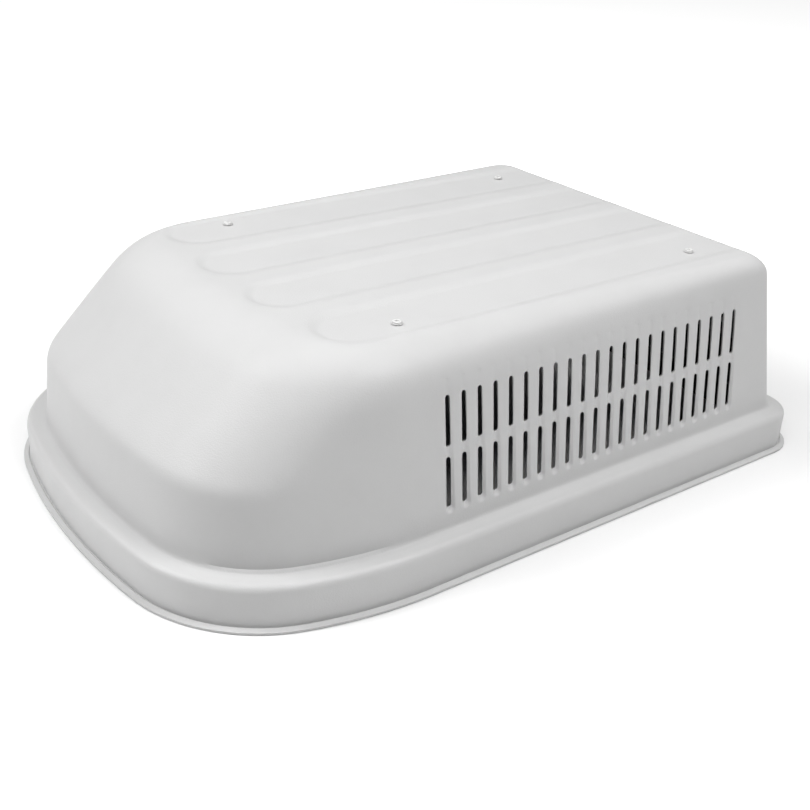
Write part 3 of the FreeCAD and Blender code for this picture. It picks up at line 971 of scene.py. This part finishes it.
def screw_head(bm, radius, low, high, sides):
    """Low domed head with a hexagon socket; the rings meet the hexagon's corners."""
    f = bpy.context.scene.cover_fixings
    height = high - low
    corner = f.socket / math.sqrt(3.0)

    def hexagon(turn, scale):
        local = (turn % (math.pi / 3.0)) - math.pi / 6.0
        return scale * corner * math.cos(math.pi / 6.0) / math.cos(local)

    dome = 0.55 * height
    rows = [(radius * 0.97, low), (radius, low + 0.03 * height)]
    for turn in spread(0.0, math.pi / 2.0, 6):
        rows.append((radius - dome * (1.0 - math.cos(turn)), high - dome * (1.0 - math.sin(turn))))
    rows.append((lambda t: hexagon(t, 1.12), high))
    rows.append((lambda t: hexagon(t, 1.0), high - 0.0002))
    rows.append((lambda t: hexagon(t, 1.0), high - f.socket_depth))
    rows.append((lambda t: hexagon(t, 0.25), high - f.socket_depth - 0.0004))
    rings = [circle(bm, shape, z, sides) for shape, z in rows]
    # The socket's last rings and its floor take the second slot, a near-black painted shade in the
    # recess.
    for step, (lower, upper) in enumerate(zip(rings, rings[1:])):
        bridge(bm, lower, upper, 1 if step >= len(rings) - 4 else 0)
    bm.faces.new(list(rings[-1])).material_index = 1
    return rings[0]


def screw_mesh(name, radius, shank_r, low, head_z, high, sides):
    """Head and plain core of a screw about the Z axis."""
    bm = bmesh.new()
    under = screw_head(bm, radius, head_z, high, sides)
    rows = [(radius * 0.6, head_z), (shank_r, head_z - 0.0004), (shank_r, low + 0.0016),
            (shank_r * 0.55, low)]
    last = under
    for shape, z in rows:
        ring = circle(bm, shape, z, sides)
        bridge(bm, ring, last)
        last = ring
    bm.faces.new(list(reversed(last)))
    return to_mesh(bm, name)


def build_screw(corner, tree):
    """Screw with a rolled thread in place of its CAD node."""
    f = bpy.context.scene.cover_fixings
    stock = finishes()
    node = "screw_" + corner
    low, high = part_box(node)
    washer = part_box("steel_washer_" + corner)[1]
    head_z = washer.z + f.seat
    core = f.thread - f.thread_depth
    mesh = screw_mesh(node, (high.x - low.x) / 2.0, core, low.z, head_z, high.z, f.sides)
    seed = add_object("thread_seed", bpy.data.meshes.new("thread_seed"))
    run = f.thread_length - 0.0025
    thread = run_tree(seed, tree, {"Turns": run / f.thread_pitch, "Length": run, "Radius": core,
                                   "Depth": f.thread_depth, "Material": stock["powder_coat"]})
    bpy.data.objects.remove(seed)
    thread.transform(Matrix.Translation((0, 0, low.z + 0.0015)))
    bm = bmesh.new()
    bm.from_mesh(mesh)
    bm.from_mesh(thread)
    bm.to_mesh(mesh)
    bm.free()
    where = (low + high) / 2.0
    mesh.transform(Matrix.Translation((where.x, where.y, 0.0)))
    # Second slot: near-black painted shade in the socket.
    obj = add_piece("hold_down_" + node, mesh, [stock["powder_coat"], stock["socket_painted_shade"]])
    shade(mesh, math.radians(35.0))
    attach(obj, node)
    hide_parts(node)


# ======== foam strips
def build_strip(node):
    """Foam strip with softened edges and an uneven open-cell skin, in place of its CAD node."""
    stock = finishes()
    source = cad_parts[node].data
    bm = bmesh.new()
    bm.from_mesh(source)
    bmesh.ops.remove_doubles(bm, verts=bm.verts[:], dist=1e-6)
    bmesh.ops.dissolve_limit(bm, angle_limit=math.radians(1.0), verts=bm.verts[:], edges=bm.edges[:])
    bmesh.ops.bevel(bm, geom=bm.edges[:], offset=0.0016, segments=3, profile=0.5, affect="EDGES")
    for _ in range(5):
        wide = [e for e in bm.edges if e.calc_length() > 0.009]
        if wide:
            bmesh.ops.subdivide_edges(bm, edges=wide, cuts=1, use_grid_fill=True)
    bmesh.ops.triangulate(bm, faces=[f for f in bm.faces if len(f.verts) > 4])
    bm.normal_update()
    for vert in bm.verts:
        c = vert.co
        wave = math.sin(c.x * 610.0 + c.z * 330.0) + math.sin(c.y * 470.0 - c.z * 280.0 + c.x * 150.0)
        vert.co = c - vert.normal * (0.00018 * (wave + 2.0))
    mesh = to_mesh(bm, node + "_foam")
    obj = add_piece(node + "_foam", mesh, [stock["open_foam"]])
    shade(mesh, math.radians(60.0))
    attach(obj, "cover")
    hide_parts(node)


# ======== stage
CAMERA_AT = Vector((-0.8608, -1.1615, 0.7884))
CAMERA_AZIMUTH = math.radians(-37.26)
CAMERA_ELEVATION = math.radians(27.31)
CAMERA_ROLL = math.radians(2.71)
CAMERA_LENS = 49.1


def place_camera():
    data = bpy.data.cameras.new("camera")
    data.lens = CAMERA_LENS
    camera = add_object("camera", data)
    back = Vector((math.sin(CAMERA_AZIMUTH) * math.cos(CAMERA_ELEVATION),
                   -math.cos(CAMERA_AZIMUTH) * math.cos(CAMERA_ELEVATION), math.sin(CAMERA_ELEVATION)))
    right = (-back).cross(Vector((0, 0, 1))).normalized()
    up = back.cross(right)
    tilted_right = right * math.cos(CAMERA_ROLL) + up * math.sin(CAMERA_ROLL)
    tilted_up = up * math.cos(CAMERA_ROLL) - right * math.sin(CAMERA_ROLL)
    turn = Matrix((tilted_right, tilted_up, back)).transposed()
    camera.matrix_world = Matrix.Translation(CAMERA_AT) @ turn.to_4x4()
    bpy.context.scene.camera = camera


def area_light(name, place, aim, size, power):
    data = bpy.data.lights.new(name, "AREA")
    data.size = size
    data.energy = power
    light = add_object(name, data)
    light.location = place
    light.rotation_mode = "QUATERNION"
    light.rotation_quaternion = (Vector(aim) - Vector(place)).to_track_quat("-Z", "Y")


def build_stage():
    scene = bpy.context.scene
    scene.view_settings.view_transform = "Standard"
    place_camera()
    aim = (0, 0, 0.1)
    area_light("overhead", (-0.2, 0.1, 3.2), aim, 3.0, 55.0)
    area_light("nose_key", (-2.0, -0.7, 2.6), aim, 1.2, 9.0)
    area_light("far_front", (-2.2, 1.2, 2.6), aim, 1.2, 62.0)
    area_light("near_rear", (0.9, -1.6, 3.0), aim, 1.2, 61.0)
    world = bpy.data.worlds.new("studio")
    world.use_nodes = True
    world.node_tree.nodes["Background"].inputs["Color"].default_value = (1.0, 1.0, 1.0, 1.0)
    world.node_tree.nodes["Background"].inputs["Strength"].default_value = 0.02
    scene.world = world
    bm = bmesh.new()
    bmesh.ops.create_grid(bm, x_segments=8, y_segments=8, size=12.0)
    mesh = to_mesh(bm, "floor")
    floor = add_piece("floor", mesh, [finishes()["studio_floor"]])
    mesh.transform(Matrix.Translation((0, 0, -0.0005)))


# ======== operators and panel
class COVER_OT_shell(bpy.types.Operator):
    """Build the moulded shell"""
    bl_idname = "cover.shell"
    bl_label = "Shell"

    def execute(self, context):
        build_shell()
        return {"FINISHED"}


class COVER_OT_fixings(bpy.types.Operator):
    """Build the screws, their washers and the pads under the top"""
    bl_idname = "cover.fixings"
    bl_label = "Fixings"

    def execute(self, context):
        stock = finishes()
        f = context.scene.cover_fixings
        tree = helix_tree()
        for corner in CORNERS:
            build_screw(corner, tree)
            build_ring("washer_" + corner, "steel_washer_" + corner, f.bore, 0.0002,
                       stock["washer_coat"], "washers_" + corner)
            build_ring("sealing_ring_" + corner, "sealing_washer_" + corner, f.bore, 0.0004,
                       stock["pale_rubber"], "washers_" + corner)
            build_ring("pad_" + corner, "bracket_pad_" + corner, f.pad_bore, 0.0009,
                       stock["black_rubber"], "cover")
        return {"FINISHED"}


class COVER_OT_seals(bpy.types.Operator):
    """Build the foam strips inside the shell"""
    bl_idname = "cover.seals"
    bl_label = "Foam strips"

    def execute(self, context):
        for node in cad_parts:
            if node.startswith(("bulkhead_seal", "rear_seal")):
                build_strip(node)
        return {"FINISHED"}


class COVER_OT_stage(bpy.types.Operator):
    """Set the floor, the lights and the camera"""
    bl_idname = "cover.stage"
    bl_label = "Studio"

    def execute(self, context):
        build_stage()
        return {"FINISHED"}


OPERATORS = (COVER_OT_stage, COVER_OT_shell, COVER_OT_fixings, COVER_OT_seals)
SETTINGS = (("cover_shell", CoverShellSettings), ("cover_panels", CoverPanelSettings),
            ("cover_louvres", CoverLouvreSettings), ("cover_fixings", CoverFixingSettings),
            ("cover_finishes", CoverFinishSettings))


class COVER_PT_sidebar(bpy.types.Panel):
    """Sizes, colours and steps of the cover"""
    bl_idname = "COVER_PT_sidebar"
    bl_label = "Rooftop cover"
    bl_space_type = "VIEW_3D"
    bl_region_type = "UI"
    bl_category = "Cover"

    def draw(self, context):
        for operator in OPERATORS:
            self.layout.operator(operator.bl_idname)
        for name, group in SETTINGS:
            box = self.layout.box()
            for prop in group.__annotations__:
                box.prop(getattr(context.scene, name), prop)


def register():
    for name, group in SETTINGS:
        bpy.utils.register_class(group)
        setattr(bpy.types.Scene, name, PointerProperty(type=group))
    for cls in OPERATORS + (COVER_PT_sidebar,):
        bpy.utils.register_class(cls)


def unregister():
    for cls in reversed(OPERATORS + (COVER_PT_sidebar,)):
        bpy.utils.unregister_class(cls)
    for name, group in reversed(SETTINGS):
        delattr(bpy.types.Scene, name)
        bpy.utils.unregister_class(group)


def main():
    register()
    for operator in OPERATORS:
        category, name = operator.bl_idname.split(".")
        getattr(getattr(bpy.ops, category), name)()


if __name__ == "__main__":
    main()
